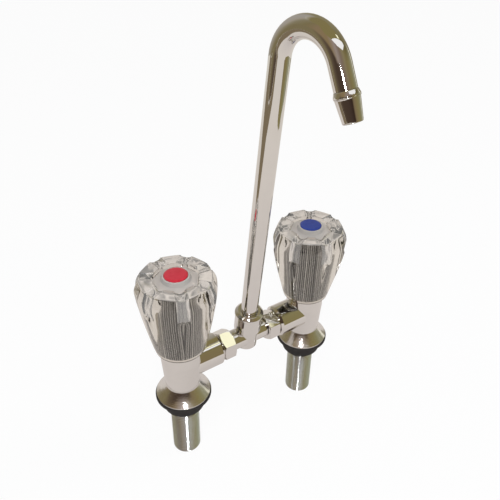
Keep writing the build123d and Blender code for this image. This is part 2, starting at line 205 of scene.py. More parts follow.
# %% [markdown]
# ## Shared effects
#
# Plated and turned metal is never perfectly even: fingers leave a haze and polishing leaves a faint
# waviness. One node group makes both, and each metal takes its own amounts. A second group finds
# the tail and the flange of a valve and makes the rings that a lathe leaves on it. A third makes
# the soft mottling of moulded rubber and plastic.

# %% Shared effects
TAIL_TOP = 2.9 * MM
FLANGE_TOP = 12.6 * MM


def new_group(name, inputs, outputs):
    """Node group with float inputs (name: default) and float outputs."""
    group = bpy.data.node_groups.new(name, "ShaderNodeTree")
    for label, default in inputs.items():
        socket = group.interface.new_socket(name=label, in_out="INPUT",
                                            socket_type="NodeSocketFloat")
        socket.default_value = default
    for label in outputs:
        group.interface.new_socket(name=label, in_out="OUTPUT", socket_type="NodeSocketFloat")
    given = group.nodes.new("NodeGroupInput")
    result = group.nodes.new("NodeGroupOutput")
    return group, given.outputs, result.inputs


def use_group(tree, group, **values):
    """Places a group in a material with its own values, and hands back its outputs."""
    node = tree.nodes.new("ShaderNodeGroup")
    node.node_tree = group
    for name, value in values.items():
        node.inputs[name].default_value = value
    return node.outputs


def beside_valve(tree):
    """Position of a point, and its sideways distance from the nearer valve's axis."""
    axes = split(tree, object_place(tree))
    outward = calculate(tree, "ABSOLUTE", axes["X"])
    return axes, calculate(tree, "SUBTRACT", outward, VALVE_X)


def polish_group():
    """Roughness that drifts with finger haze, and a height for polishing waves."""
    group, given, result = new_group("polish", {"Roughness": 0.05, "Haze": 0.05, "Scale": 60.0},
                                     ("Roughness", "Height"))
    place = object_place(group)
    haze = add_node(group, "ShaderNodeTexNoise", {"Vector": place, "Scale": given["Scale"],
                                                  "Detail": 6.0, "Roughness": 0.6})
    spread = stretch(group, haze.outputs["Fac"], 0.45, 0.75)
    amount = calculate(group, "MULTIPLY", spread, given["Haze"])
    total = calculate(group, "ADD", amount, given["Roughness"])
    waves = add_node(group, "ShaderNodeTexNoise", {"Vector": place, "Scale": 90.0, "Detail": 2.0})
    group.links.new(total, result["Roughness"])
    group.links.new(waves.outputs["Fac"], result["Height"])
    return group


def turning_group():
    """Fine lathe rings round each valve's axis, and masks up to the tops of tail and flange."""
    group, _, result = new_group("turning", {}, ("Rings", "Tail", "Flange"))
    axes, across = beside_valve(group)
    flat = add_node(group, "ShaderNodeCombineXYZ", {"X": across, "Y": axes["Y"]})
    radius = add_node(group, "ShaderNodeVectorMath", {0: flat.outputs[0]}, operation="LENGTH")
    rings = add_node(group, "ShaderNodeTexNoise",
                     {"W": radius.outputs["Value"], "Scale": 1400.0, "Detail": 3.0},
                     noise_dimensions="1D")
    group.links.new(rings.outputs["Fac"], result["Rings"])
    group.links.new(calculate(group, "LESS_THAN", axes["Z"], TAIL_TOP), result["Tail"])
    group.links.new(calculate(group, "LESS_THAN", axes["Z"], FLANGE_TOP), result["Flange"])
    return group


def mottle_group():
    """A 0 to 1 mottling with a fine grain on top, for rubber and moulded plastic."""
    group, given, result = new_group("mottle", {"Scale": 400.0}, ("Mask", "Height"))
    place = object_place(group)
    broad = add_node(group, "ShaderNodeTexNoise",
                     {"Vector": place, "Scale": given["Scale"], "Detail": 5.0})
    grain = add_node(group, "ShaderNodeTexNoise", {"Vector": place, "Scale": 2500.0, "Detail": 2.0})
    group.links.new(broad.outputs["Fac"], result["Mask"])
    group.links.new(grain.outputs["Fac"], result["Height"])
    return group


POLISH = polish_group()
TURNING = turning_group()
MOTTLE = mottle_group()
print("groups", [group.name for group in bpy.data.node_groups])

# %% [markdown]
# ## Metals
#
# The bodies, nuts and spout of such a tap are brass, cast, forged or bent, then turned, buffed and
# plated with nickel and chrome. The parts inside stay plain brass. All metals share one recipe:
# full Metallic, a colour that drifts a little, roughness and waviness from the polish group. Chrome
# plate is almost a mirror. A valve's barrel was buffed, its flange keeps fine rings from the lathe,
# and its tail was never polished, so the plate there is dull. The height in the tap's own frame
# tells the three apart.

# %% Metals
# Dark colour, light colour, roughness, haze and polishing waves.
CHROME = ((0.80, 0.785, 0.77), (0.86, 0.845, 0.83), 0.035, 0.05, 0.10)
WAVE_HEIGHT = 0.2 * MM
RING_HEIGHT = 0.25 * MM


def metal(name, dark, light, roughness, haze, waves):
    """A procedural metal. Waves is the strength of the polishing waviness."""
    material, tree, shader = new_material(name)
    polish = use_group(tree, POLISH, Roughness=roughness, Haze=haze)
    shader.inputs["Metallic"].default_value = 1.0
    tree.links.new(between(tree, polish["Height"], dark, light), shader.inputs["Base Color"])
    tree.links.new(polish["Roughness"], shader.inputs["Roughness"])
    bump(tree, shader, polish["Height"], waves, WAVE_HEIGHT)
    return material


def valve_chrome():
    """Chrome as it is, but with lathe rings on the flange and dull unpolished plate on the tail."""
    material = metal("valve_chrome", *CHROME)
    tree = material.node_tree
    shader = tree.nodes["Principled BSDF"]
    colour, roughness, normal = (shader.inputs[name].links[0].from_socket
                                 for name in ("Base Color", "Roughness", "Normal"))
    turning = use_group(tree, TURNING)
    turned = use_group(tree, POLISH, Roughness=0.17, Haze=0.06)
    dull = use_group(tree, POLISH, Roughness=0.085, Haze=0.1, Scale=300.0)
    dull_colour = between(tree, dull["Roughness"], (0.80, 0.86, 0.88), (0.94, 0.97, 0.97))
    colour = mix(tree, "RGBA", turning["Tail"], colour, dull_colour)
    roughness = mix(tree, "FLOAT", turning["Flange"], roughness, turned["Roughness"])
    roughness = mix(tree, "FLOAT", turning["Tail"], roughness, dull["Roughness"])
    strength = mix(tree, "FLOAT", turning["Flange"], 0.0, 0.35)
    rings = add_node(tree, "ShaderNodeBump", {"Height": turning["Rings"], "Strength": strength,
                                              "Distance": RING_HEIGHT, "Normal": normal})
    tree.links.new(colour, shader.inputs["Base Color"])
    tree.links.new(roughness, shader.inputs["Roughness"])
    tree.links.new(rings.outputs["Normal"], shader.inputs["Normal"])
    return material


chrome = metal("chrome_plate", *CHROME)
valve_plate = valve_chrome()
brass = metal("turned_brass", (0.62, 0.46, 0.22), (0.78, 0.62, 0.34), 0.22, 0.1, 0.2)
steel = metal("plain_steel", (0.48, 0.48, 0.49), (0.62, 0.62, 0.63), 0.28, 0.1, 0.2)
paint(chrome, *both("union_nut"), "tee_body", "spout_collar", "spout_tube", "spout_nozzle")
paint(valve_plate, *both("valve_body"))
paint(brass, *both("bonnet", "spindle", "jumper", "washer_nut"), "spout_ferrule")
paint(steel, *both("knob_screw", "union_ring"))
print("metals", [finish.name for finish in (chrome, valve_plate, brass, steel)])

# %% [markdown]
# ## The screw threads of the tails
#
# Below the deck each valve ends in a G1/2 pipe thread, 14 turns to the inch. It is rolled or cut
# with a die. In the CAD it is a plain cylinder, and here it becomes a true helix. One row of points
# runs up the screw for each point of the thread's rounded profile, so crests and roots stay clean.
# At both ends the rows are cut off level.

# %% The screw threads of the tails
THREAD_PITCH = 25.4 / 14 * MM
THREAD_CREST = 10.4775 * MM
THREAD_DEPTH = 1.0 * MM
# Height and radius at the thread's lower and upper end.
THREAD_FOOT = (-57.0 * MM, 9.28 * MM)
THREAD_HEAD = (-12.0 * MM, 10.2 * MM)
FADE_TURNS = 1.5
THREAD_PROFILE = (1.0, 0.93, 0.5, 0.07, 0.0, 0.07, 0.5, 0.93)
THREAD_STEPS = 64
WELD_DISTANCE = 0.002 * MM


def thread_radius(z, share):
    """Radius at a height for a share of the thread's depth, inside the chamfers at both ends."""
    foot_z, foot_r = THREAD_FOOT
    head_z, head_r = THREAD_HEAD
    radius = THREAD_CREST - (1 - share) * THREAD_DEPTH
    fade = min(1.0, (head_z - z) / (FADE_TURNS * THREAD_PITCH))
    return min(head_r + (radius - head_r) * fade, foot_r + (z - foot_z))


def add_thread(shape, centre_x):
    """Adds the helical surface to a bmesh, round a vertical axis, and joins up its own points."""
    foot_z, head_z = THREAD_FOOT[0], THREAD_HEAD[0]
    points = len(THREAD_PROFILE)
    rows = []
    for row in range(int((head_z - foot_z) / THREAD_PITCH * points) + 2 * points + 2):
        share = THREAD_PROFILE[row % points]
        line = []
        for step in range(THREAD_STEPS):
            turn = step / THREAD_STEPS
            z = foot_z + THREAD_PITCH * (row / points + turn - 1)
            z = min(max(z, foot_z), head_z)
            radius = thread_radius(z, share)
            angle = 2 * math.pi * turn
            line.append(shape.verts.new((centre_x + radius * math.cos(angle),
                                         radius * math.sin(angle), z)))
        rows.append(line)
    for row in range(len(rows) - points - 1):
        for step in range(THREAD_STEPS):
            if step + 1 < THREAD_STEPS:
                low, high = rows[row][step + 1], rows[row + 1][step + 1]
            else:
                low, high = rows[row + points][0], rows[row + points + 1][0]
            shape.faces.new((rows[row][step], low, high, rows[row + 1][step])).smooth = True
    bmesh.ops.remove_doubles(shape, verts=[vert for row in rows for vert in row],
                             dist=WELD_DISTANCE)


print("turns of each thread", round((THREAD_HEAD[0] - THREAD_FOOT[0]) / THREAD_PITCH, 1))

# %% [markdown]
# ## The threaded valve bodies
#
# Each threaded body is a copy of the CAD's valve body. The faces of the plain cylinder are deleted
# and the helix goes in their place. The bore, the seat and the arm stay as they are. The copy rides
# with the tap's body and is seen instead of the CAD node.

# %% The threaded valve bodies
# The bore's faces lie inside this radius, and stay.
THREAD_CORE = 9.3 * MM


def on_plain_tail(face, centre_x):
    """Whether a face of the CAD's valve body belongs to the outside of the plain tail."""
    middle = face.calc_center_median()
    return (middle.z < THREAD_HEAD[0] + 0.1 * MM
            and math.hypot(middle.x - centre_x, middle.y) > THREAD_CORE)


def threaded_body(side, centre_x):
    """Copy of a valve body whose plain tail gives way to a screw thread."""
    node = nodes[side + "_valve_body"]
    mesh = node.data.copy()
    mesh.name = side + "_threaded_body"
    shape = bmesh.new()
    shape.from_mesh(mesh)
    plain = [face for face in shape.faces if on_plain_tail(face, centre_x)]
    bmesh.ops.delete(shape, geom=plain, context="FACES")
    add_thread(shape, centre_x)
    loose = [vert for vert in shape.verts if not vert.link_faces]
    bmesh.ops.delete(shape, geom=loose, context="VERTS")
    shape.to_mesh(mesh)
    shape.free()
    body = add_object(side + "_threaded_body", mesh)
    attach(body, "tap_body")
    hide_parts(side + "_valve_body")
    return body


for side, centre_x in VALVES.items():
    body = threaded_body(side, centre_x * MM)
    paint(valve_plate, body.name)
    print(body.name, "faces", len(body.data.polygons))

# %% [markdown]
# ## Rubber, fibre and nylon
#
# The washers under the flanges and on the seats are moulded rubber, near black with a soft sheen.
# Fibre washers are punched from a dull red-brown sheet. The nylon rings are milky. None of them is
# metal, so one recipe with a mottled colour and a fine grain serves all three.

# %% Rubber, fibre and nylon
GRAIN_HEIGHT = 0.05 * MM


def moulded(name, dark, light, roughness, grain):
    """A procedural non-metal with mottled colour and a fine grain."""
    material, tree, shader = new_material(name)
    mottle = use_group(tree, MOTTLE)
    tree.links.new(between(tree, mottle["Mask"], dark, light), shader.inputs["Base Color"])
    shader.inputs["Roughness"].default_value = roughness
    bump(tree, shader, mottle["Height"], grain, GRAIN_HEIGHT)
    return material


rubber = moulded("black_rubber", (0.020, 0.018, 0.017), (0.034, 0.031, 0.030), 0.55, 0.3)
rubber.node_tree.nodes["Principled BSDF"].inputs["Specular IOR Level"].default_value = 0.25
fibre = moulded("red_fibre", (0.28, 0.08, 0.05), (0.42, 0.14, 0.09), 0.7, 0.5)
nylon = moulded("milky_nylon", (0.72, 0.72, 0.68), (0.84, 0.84, 0.80), 0.4, 0.2)
paint(rubber, *both("base_washer", "spindle_seals", "seat_washer"), "spout_seals")
paint(fibre, *both("bonnet_washer", "union_seal"))
paint(nylon, "spout_slip_ring", "nozzle_insert")
print("moulded", [finish.name for finish in (rubber, fibre, nylon)])

# %% [markdown]
# ## The outline of the clear knobs
#
# The real knob is one thick acrylic moulding. Seven flat panels rise out of a round foot, and a
# short round-bottomed flute parts each panel from the next. The crown rolls over softly to a narrow
# rim round a seven-sided recess. The CAD knob has these forms with plain cuts. This mesh has the
# soft edges of a moulding, which matter because clear plastic bends light at every edge. First
# comes the outline, as rows of radius and height from the foot over the shoulder to the top.

# %% Outline of the clear knobs
LOBES = 7
LOBE = 2 * math.pi / LOBES
# Radius and height in mm of the outline's corners.
KNOB_FOOT = (17.4, 47.5)
KNOB_SHOULDER = (27.9, 97.0)
CROWN_TOP = (25.0, 106.1)
RIM_EDGE = 0.9
TOP_Z = 107.0
TOP_RADII = (22.0, 20.0, 18.4)
KNOB_SWELL = 1.5
SIDE_STEPS, CROWN_STEPS, RIM_STEPS = 30, 8, 5
# The round foot has turned into flat panels between these heights.
PANELS_BEGIN, PANELS_BLEND = 52, 30


def side_row(share):
    """Radius and height on the tapered side, from foot (0) to shoulder (1), with a slight swell."""
    foot_r, foot_z = KNOB_FOOT
    shoulder_r, shoulder_z = KNOB_SHOULDER
    swell = KNOB_SWELL * 4 * share * (1 - share) * (0.4 + 0.6 * share)
    radius = foot_r + (shoulder_r - foot_r) * share + swell
    return min(radius, shoulder_r), foot_z + (shoulder_z - foot_z) * share


def crown_row(share):
    """Radius and height on the crown, from shoulder (0) to rim (1), closing in near the rim."""
    return (KNOB_SHOULDER[0] + (CROWN_TOP[0] - KNOB_SHOULDER[0]) * share ** 2,
            KNOB_SHOULDER[1] + (CROWN_TOP[1] - KNOB_SHOULDER[1]) * share)


def rim_row(share):
    """Radius and height round the small edge between crown and top."""
    turn = share * math.pi / 2
    return (CROWN_TOP[0] - RIM_EDGE * (1 - math.cos(turn)),
            CROWN_TOP[1] + RIM_EDGE * math.sin(turn))


# Each row is radius, height and how much of the panels' flatness it has.
outer_rows = []
for step in range(SIDE_STEPS + 1):
    radius, height = side_row(step / SIDE_STEPS)
    flat = min(1.0, max(0.0, (height - PANELS_BEGIN) / PANELS_BLEND))
    outer_rows.append((radius, height, flat))
outer_rows += [(*crown_row(step / CROWN_STEPS), 1.0) for step in range(1, CROWN_STEPS + 1)]
outer_rows += [(*rim_row(step / RIM_STEPS), 1.0) for step in range(1, RIM_STEPS + 1)]
outer_rows += [(radius, TOP_Z, 1.0) for radius in TOP_RADII]
print("outer rows of a knob", len(outer_rows))

# %% [markdown]
# ## Panels, flutes and the recess
#
# Turned about the axis, the outline alone would give a round knob. Three small rules shape it: the
# panels flatten the circle, the flutes cut into the surface and run out low down, and the recess is
# a circle with seven straight sides. Each rule turns an angle from the middle of a flute into a
# radius and a height.

# %% Panels, flutes and the recess
PANEL_FLATNESS = 0.06
FLUTE_HALF_WIDTH = 4.1
FLUTE_DEPTH = 1.9
# The flutes run out below this height, over this length.
FLUTE_END = (90.0, 3.2)
# A low lip softens each flute's edge between these shares of its half width.
LIP_BEGIN, LIP_END, LIP_HEIGHT = 0.8, 1.12, 0.03
# The recess's corners are cut back to this share of their radius.
CORNER_SHARE = 0.985


def flute_depth(height, offset):
    """Depth of the flute at a sideways offset, with a rounded end low down and soft edges."""
    reach = abs(offset) / FLUTE_HALF_WIDTH
    if reach >= LIP_END:
        return 0.0
    lip = LIP_HEIGHT * (LIP_END - max(reach, LIP_BEGIN)) / (LIP_END - LIP_BEGIN)
    end_z, end_length = FLUTE_END
    rise = min(1.0, max(0.0, (height - end_z) / end_length))
    return FLUTE_DEPTH * (max(0.0, 1 - reach ** 2) + lip) * math.sqrt(1 - (1 - rise) ** 2)


def row_normals(rows):
    """Outward direction of each outline row in the (radius, height) plane."""
    result = []
    for index in range(len(rows)):
        low, high = rows[max(index - 1, 0)], rows[min(index + 1, len(rows) - 1)]
        run, rise = high[0] - low[0], high[1] - low[1]
        size = math.hypot(run, rise)
        result.append((rise / size, -run / size))
    return result


def outer_place(row, normal):
    """Radius and height round the outside: panels flatten the circle and flutes cut into it."""
    radius, height, flat = row

    def place(angle):
        toward_panel = math.cos((LOBE / 2 - abs(angle)) * LOBES / 2)
        surface = radius * (1 - PANEL_FLATNESS * flat * toward_panel)
        depth = flute_depth(height, surface * math.sin(angle))
        return surface - normal[0] * depth, height - normal[1] * depth
    return place


def recess_place(corner_r, height):
    """Radius and height round the seven-sided recess, which the flutes cut down where they meet."""
    def place(angle):
        sharp = corner_r * math.cos(LOBE / 2) / math.cos(LOBE / 2 - abs(angle))
        radius = min(sharp, corner_r * CORNER_SHARE)
        return radius, min(height, TOP_Z - flute_depth(TOP_Z, radius * math.sin(angle)))
    return place


def round_place(radius, height):
    """A plain circle."""
    return lambda angle: (radius, height)


print("depth in mm of a flute's middle, at its end and at the top",
      [round(flute_depth(height, 0), 2) for height in (FLUTE_END[0], TOP_Z)])

# %% [markdown]
# ## The mesh of the clear knobs
#
# The mesh is a grid. Columns run round the knob, closer together in the flutes. Rows follow the
# outline, then go on down the wall of the recess, up the hub that holds the coloured disc and down
# inside to the foot, so the knob is a closed body with real wall thickness. Clear plastic needs
# that, because light bends once on its way in and once on its way out.

# %% The mesh of the clear knobs
# Columns from a flute's middle to its edge, as shares of its half width, then over half a panel.
FLUTE_COLUMNS = (0.0, 0.2, 0.4, 0.58, 0.74, 0.86, 0.95, 1.03, LIP_END)
PANEL_COLUMNS = 5
LOBE_COLUMNS = 2 * (len(FLUTE_COLUMNS) + PANEL_COLUMNS - 1)
# Corner radius and height of the recess, from its edge down to its floor.
RECESS_ROWS = ((16.45, TOP_Z), (16.2, 106.8), (15.6, 104.3), (15.4, 104.0))
# Radius and height, up to the seat of the disc.
HUB = ((11.2, 104.6), (9.9, 105.3), (9.3, 106.8), (8.9, 107.75), (8.35, 107.95))
# From the disc's seat down round the screw's head and over the liner to the foot.
KNOB_INSIDE = ((7.95, 107.95), (7.9, 107.4), (4.25, 107.4), (4.2, 99.0), (2.2, 99.0), (2.2, 96.25),
               (4.85, 96.25), (4.95, 103.5), (15.1, 103.5), (15.9, 102.7), (16.2, 101.6),
               (16.2, 96.0), (15.68, 49.5), (15.65, 47.6), (15.8, 47.5),
               (KNOB_FOOT[0] - 0.2, KNOB_FOOT[1]))


def lobe_angles(radius):
    """Angles from the flute's middle to the panel's middle, with columns close in the flute."""
    # Near the axis a flute's columns would fill the circle, so there they close up.
    half = min(FLUTE_HALF_WIDTH, radius * 0.3)
    angles = [math.asin(column * half / radius) for column in FLUTE_COLUMNS]
    last = angles[-1]
    return angles + [last + (LOBE / 2 - last) * step / PANEL_COLUMNS
                     for step in range(1, PANEL_COLUMNS + 1)]


def turned_point(shape, centre_x, radius, turn, height):
    """A new point at a radius, direction and height about a valve's axis, all in mm."""
    return shape.verts.new(((centre_x + radius * math.cos(turn)) * MM,
                            radius * math.sin(turn) * MM, height * MM))


def lobed_ring(shape, centre_x, azimuth, radius, place):
    """One closed ring of points. Place turns an angle in the lobe into a radius and a height."""
    angles = lobe_angles(radius)
    angles = [-angle for angle in reversed(angles[1:-1])] + angles
    return [turned_point(shape, centre_x, place(angle)[0], azimuth + lobe * LOBE + angle,
                         place(angle)[1]) for lobe in range(LOBES) for angle in angles]


def skin_over(shape, rings):
    """Joins each ring to the next, and the last to the first, with smooth faces."""
    count = len(rings[0])
    for low, high in zip(rings, rings[1:] + rings[:1]):
        for index in range(count):
            after = (index + 1) % count
            shape.faces.new((low[index], low[after], high[after], high[index])).smooth = True
    bmesh.ops.recalc_face_normals(shape, faces=shape.faces)


def to_mesh(name, shape, sharp_from):
    """Writes a bmesh into a new mesh whose edges are sharp from an angle in degrees."""
    mesh = bpy.data.meshes.new(name)
    shape.to_mesh(mesh)
    shape.free()
    mesh.set_sharp_from_angle(angle=math.radians(sharp_from))
    return mesh


print("rows", len(outer_rows) + len(RECESS_ROWS) + len(HUB + KNOB_INSIDE),
      "columns", LOBES * LOBE_COLUMNS)

# %% [markdown]
# ## The clear knobs and their finishes
#
# The faces are numbered row by row, so a face's number gives its row and its column. Those tell
# whether it lies on a panel, in a flute, on the crown or in the recess, and each of these has its
# own finish. The finished mesh turns with the spindle and is seen instead of the CAD knob.

# %% The clear knobs and their finishes
# Direction of the middle of one flute.
FLUTE_AT = {"hot": math.radians(-109), "cold": math.radians(-127 + 180 / LOBES)}
# The finishes of a face, by number. The crown's begins at a height.
POLISHED, FLUTE, CROWN, RECESS = range(4)
CROWN_FROM = 105.9


def finish_of(row, column):
    """Which finish a face has, by its row from the foot and its column round the knob."""
    flute_faces = len(FLUTE_COLUMNS) - 2
    flute_first = LOBE_COLUMNS // 2 - 1 - flute_faces
    in_flute = flute_first <= column % LOBE_COLUMNS < flute_first + 2 * flute_faces
    recess_floor = len(outer_rows) + len(RECESS_ROWS) - 1
    if row <= len(outer_rows):
        height = outer_rows[row][1] if row < len(outer_rows) else TOP_Z
        if in_flute and height > FLUTE_END[0]:
            return FLUTE
        if height > CROWN_FROM:
            return CROWN
    elif recess_floor <= row <= recess_floor + len(HUB):
        return RECESS
    return POLISHED


def clear_knob(side, centre_x):
    """The whole knob as one closed mesh that turns with its spindle."""
    shape = bmesh.new()
    places = [(row[0], outer_place(row, normal))
              for row, normal in zip(outer_rows, row_normals(outer_rows))]
    places += [(corner_r, recess_place(corner_r, height)) for corner_r, height in RECESS_ROWS]
    places += [(radius, round_place(radius, height)) for radius, height in HUB + KNOB_INSIDE]
    skin_over(shape, [lobed_ring(shape, centre_x, FLUTE_AT[side], radius, place)
                      for radius, place in places])
    for number, face in enumerate(shape.faces):
        face.material_index = finish_of(*divmod(number, LOBES * LOBE_COLUMNS))
    name = side + "_clear_knob"
    clear = add_object(name, to_mesh(name, shape, 38))
    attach(clear, side + "_spindle_set")
    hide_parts(side + "_knob")
    return clear


for side, centre_x in VALVES.items():
    clear = clear_knob(side, centre_x)
    corner = [max(vert.co[axis] for vert in clear.data.vertices) / MM for axis in range(3)]
    print(clear.name, "faces", len(clear.data.polygons), "highest corner in mm",
          [round(v, 1) for v in corner])

# %% [markdown]
# ## The pale cap on the liner
#
# Inside the clear moulding sits a ribbed liner, moulded and then metallised. Seen from above it
# ends in a pale satin cap close under the recess, and its ribs run up to the cap's rounded edge.
# The CAD liner stops a little lower. The cap is a ring of its own that carries on the same ribs,
# and the knob's inside makes room for it.

# %% The pale cap on the liner
LINER_RIBS = 72
RIB_DEPTH = 0.5
# Radius and height round the cap's section, in mm. The first rows have the ribs.
CAP_ROWS = ((16.0, 96.03), (16.0, 100.9), (15.85, 101.6), (15.4, 102.4), (14.9, 103.0),
            (14.4, 103.25), (14.1, 103.3), (5.2, 103.3), (5.1, 103.2), (5.1, 102.3), (14.6, 102.3),
            (15.0, 96.03))
RIBBED_ROWS = 2


def liner_cap(side, centre_x):
    """Ring with ribs outside, one column of points for each rib's crest and each valley."""
    shape = bmesh.new()
    rings = []
    for number, (radius, height) in enumerate(CAP_ROWS):
        depth = RIB_DEPTH if number < RIBBED_ROWS else 0
        rings.append([turned_point(shape, centre_x, radius - depth * (column % 2),
                                   math.pi * column / LINER_RIBS, height)
                      for column in range(2 * LINER_RIBS)])
    skin_over(shape, rings)
    name = side + "_liner_cap"
    cap = add_object(name, to_mesh(name, shape, 30))
    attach(cap, side + "_spindle_set")
    return cap


for side, centre_x in VALVES.items():
    cap = liner_cap(side, centre_x)
    print(cap.name, "faces", len(cap.data.polygons))

# %% [markdown]
# ## The clear acrylic
#
# Clear acrylic is a Principled shader with full transmission, the real index of refraction and a
# slight straw tint. Only the panels are polished. The flutes are matt as they leave the mould, and
# the crown and the recess are a little milky, which keeps dark inner reflections out of them.

# %% Clear acrylic
ACRYLIC_IOR = 1.49


def clear_acrylic(name, roughness, clearness, dark, light):
    """Acrylic, polished or matt. Clearness is the share of light that passes without scatter."""
    material, tree, shader = new_material(name)
    polish = use_group(tree, POLISH, Roughness=roughness, Haze=0.05)
    tree.links.new(between(tree, polish["Height"], dark, light), shader.inputs["Base Color"])
    tree.links.new(polish["Roughness"], shader.inputs["Roughness"])
    shader.inputs["IOR"].default_value = ACRYLIC_IOR
    shader.inputs["Transmission Weight"].default_value = clearness
    bump(tree, shader, polish["Height"], 0.12, WAVE_HEIGHT)
    return material


acrylics = {
    POLISHED: clear_acrylic("clear_acrylic", 0.03, 1.0, (0.89, 0.87, 0.82), (0.955, 0.94, 0.90)),
    FLUTE: clear_acrylic("frosted_acrylic", 0.16, 0.8, (0.84, 0.82, 0.79), (0.90, 0.88, 0.85)),
    CROWN: clear_acrylic("crown_acrylic", 0.08, 0.68, (0.93, 0.87, 0.81), (0.98, 0.94, 0.88)),
    RECESS: clear_acrylic("hub_acrylic", 0.2, 0.5, (0.86, 0.82, 0.78), (0.95, 0.91, 0.87)),
}
paint(acrylics[POLISHED], *both("knob"))
for name in both("clear_knob"):
    for number in sorted(acrylics):
        bpy.data.objects[name].data.materials.append(acrylics[number])
print("finishes of a knob", [finish.name for finish in acrylics.values()])

# %% [markdown]
# ## The liner and the discs
#
# The liner's ribs carry a thin bright metal. Painted shade makes the valleys between them darker
# and the crests lighter, so they show through the panels as fine stripes, and each rib is also a
# little darker or lighter than the next. Its top is a pale satin. The index discs snap in over the
# knobs' screws, glossy red for hot and blue for cold.

# %% The liner and the discs
# A surface that faces up by more than this belongs to the liner's top. Below it, the cap's rounded
# edge keeps the darker rib colours, a painted shadow in the gap between cap and knob.
LEVEL_FROM = 0.93


def rib_shade_group():
    """Painted shade in rib valleys, random tone per rib, and a mask for the liner's level top."""
    group, _, result = new_group("ribs", {}, ("RibShadeAndTone", "Top"))
    axes, across = beside_valve(group)
    turn = calculate(group, "ARCTAN2", axes["Y"], across)
    waves = calculate(group, "MULTIPLY", turn, float(LINER_RIBS))
    # Painted shade: each valley between ribs is darker and each crest lighter, as light falls on
    # them.
    crest = stretch(group, calculate(group, "COSINE", waves), -1.0, 1.0, 0.0, 0.62)
    uneven = add_node(group, "ShaderNodeTexNoise", {"W": waves, "Scale": 0.11, "Detail": 3.0,
                                                    "Roughness": 0.7}, noise_dimensions="1D")
    uneven = stretch(group, uneven.outputs["Fac"], 0.35, 0.65, -0.25, 0.38)
    upward = split(group, add_node(group, "ShaderNodeNewGeometry").outputs["Normal"])["Z"]
    group.links.new(calculate(group, "ADD", crest, uneven, use_clamp=True), result["RibShadeAndTone"])
    group.links.new(calculate(group, "GREATER_THAN", upward, LEVEL_FROM), result["Top"])
    return group


def liner_metal_and_shade():
    """Thin bright metal on the ribs with painted shade in their valleys, pale satin on the top."""
    material, tree, shader = new_material("liner_metal_and_shade")
    ribs = use_group(tree, rib_shade_group())
    polish = use_group(tree, POLISH, Roughness=0.22, Haze=0.1)
    sides = between(tree, ribs["RibShadeAndTone"], (0.05, 0.052, 0.057), (0.78, 0.79, 0.82))
    colour = mix(tree, "RGBA", ribs["Top"], sides, (0.90, 0.78, 0.73, 1))
    tree.links.new(colour, shader.inputs["Base Color"])
    tree.links.new(mix(tree, "FLOAT", ribs["Top"], 0.9, 0.15), shader.inputs["Metallic"])
    tree.links.new(polish["Roughness"], shader.inputs["Roughness"])
    return material


def disc_paint(name, dark, light):
    """Glossy enamel of an index disc."""
    material, tree, shader = new_material(name)
    mottle = use_group(tree, MOTTLE)
    tree.links.new(between(tree, mottle["Mask"], dark, light), shader.inputs["Base Color"])
    shader.inputs["Roughness"].default_value = 0.22
    shader.inputs["Coat Weight"].default_value = 0.6
    return material


paint(liner_metal_and_shade(), *both("knob_liner", "liner_cap"))
paint(disc_paint("red_enamel", (0.55, 0.012, 0.035), (0.66, 0.03, 0.06)), "hot_index_disc")
paint(disc_paint("blue_enamel", (0.012, 0.035, 0.24), (0.03, 0.065, 0.34)), "cold_index_disc")
print("materials so far", len(bpy.data.materials))

# %% [markdown]
# ## Rounded edges
#
# Buffing before plating takes the edge off every corner, and a rounded edge catches a thin line of
# light. On the nuts, the collar and the nozzle, Weld joins the CAD's facets and Bevel rounds the
# edges.

# %% Rounded edges


def round_edges(node, width, angle):
    """Rounds a CAD node's sharp edges for the eye. Its own mesh isn't changed."""
    weld = nodes[node].modifiers.new("weld", "WELD")
    weld.merge_threshold = WELD_DISTANCE
    bevel = nodes[node].modifiers.new("round", "BEVEL")
    bevel.width = width
    bevel.segments = 3
    bevel.limit_method = "ANGLE"
    bevel.angle_limit = math.radians(angle)
    nodes[node].modifiers.new("even", "WEIGHTED_NORMAL")


for name in both("union_nut"):
    round_edges(name, 0.4 * MM, 25)
round_edges("spout_nozzle", 0.5 * MM, 20)
round_edges("spout_collar", 0.25 * MM, 25)
print("rounded", [name for name in nodes if nodes[name].modifiers])

# %% [markdown]
# ## Colours as the chrome shows them
#
# Chrome mirrors a little less light than it gets. So a card glows a little brighter than the colour
# that it should show in the chrome. Light Path nodes let a surface look one way to the eye, to
# mirrors and through clear plastic, and light the tap in another.

# %% Colours as the chrome shows them
CHROME_REFLECTS = 0.83


def mirrored(colour):
    """Glow that a thing needs for its colour, as the eye reads it in the chrome."""
    return tuple(((part + 0.055) / 1.055) ** 2.4 / CHROME_REFLECTS for part in colour)


def colour_ramp(tree, value, stops):
    """Colour ramp over (position, colour) stops, with the colours as seen in the chrome."""
    ramp = add_node(tree, "ShaderNodeValToRGB", {"Fac": value})
    while len(ramp.color_ramp.elements) < len(stops):
        ramp.color_ramp.elements.new(1.0)
    for element, (position, colour) in zip(ramp.color_ramp.elements, stops):
        element.position = position
        element.color = (*mirrored(colour), 1)
    return ramp.outputs["Color"]


def seen_directly(tree):
    """1 for camera, glossy and transmission rays, otherwise 0."""
    path = add_node(tree, "ShaderNodeLightPath").outputs
    first = calculate(tree, "MAXIMUM", path["Is Camera Ray"], path["Is Glossy Ray"])
    return calculate(tree, "MAXIMUM", first, path["Is Transmission Ray"])


def mix_shaders(tree, mask, without, with_mask):
    """Mixes the output of two shader nodes by a mask."""
    node = add_node(tree, "ShaderNodeMixShader", {"Fac": mask})
    tree.links.new(without.outputs[0], node.inputs[1])
    tree.links.new(with_mask.outputs[0], node.inputs[2])
    return node.outputs[0]


print("glow of a middle grey", [round(part, 3) for part in mirrored((0.5, 0.5, 0.5))])

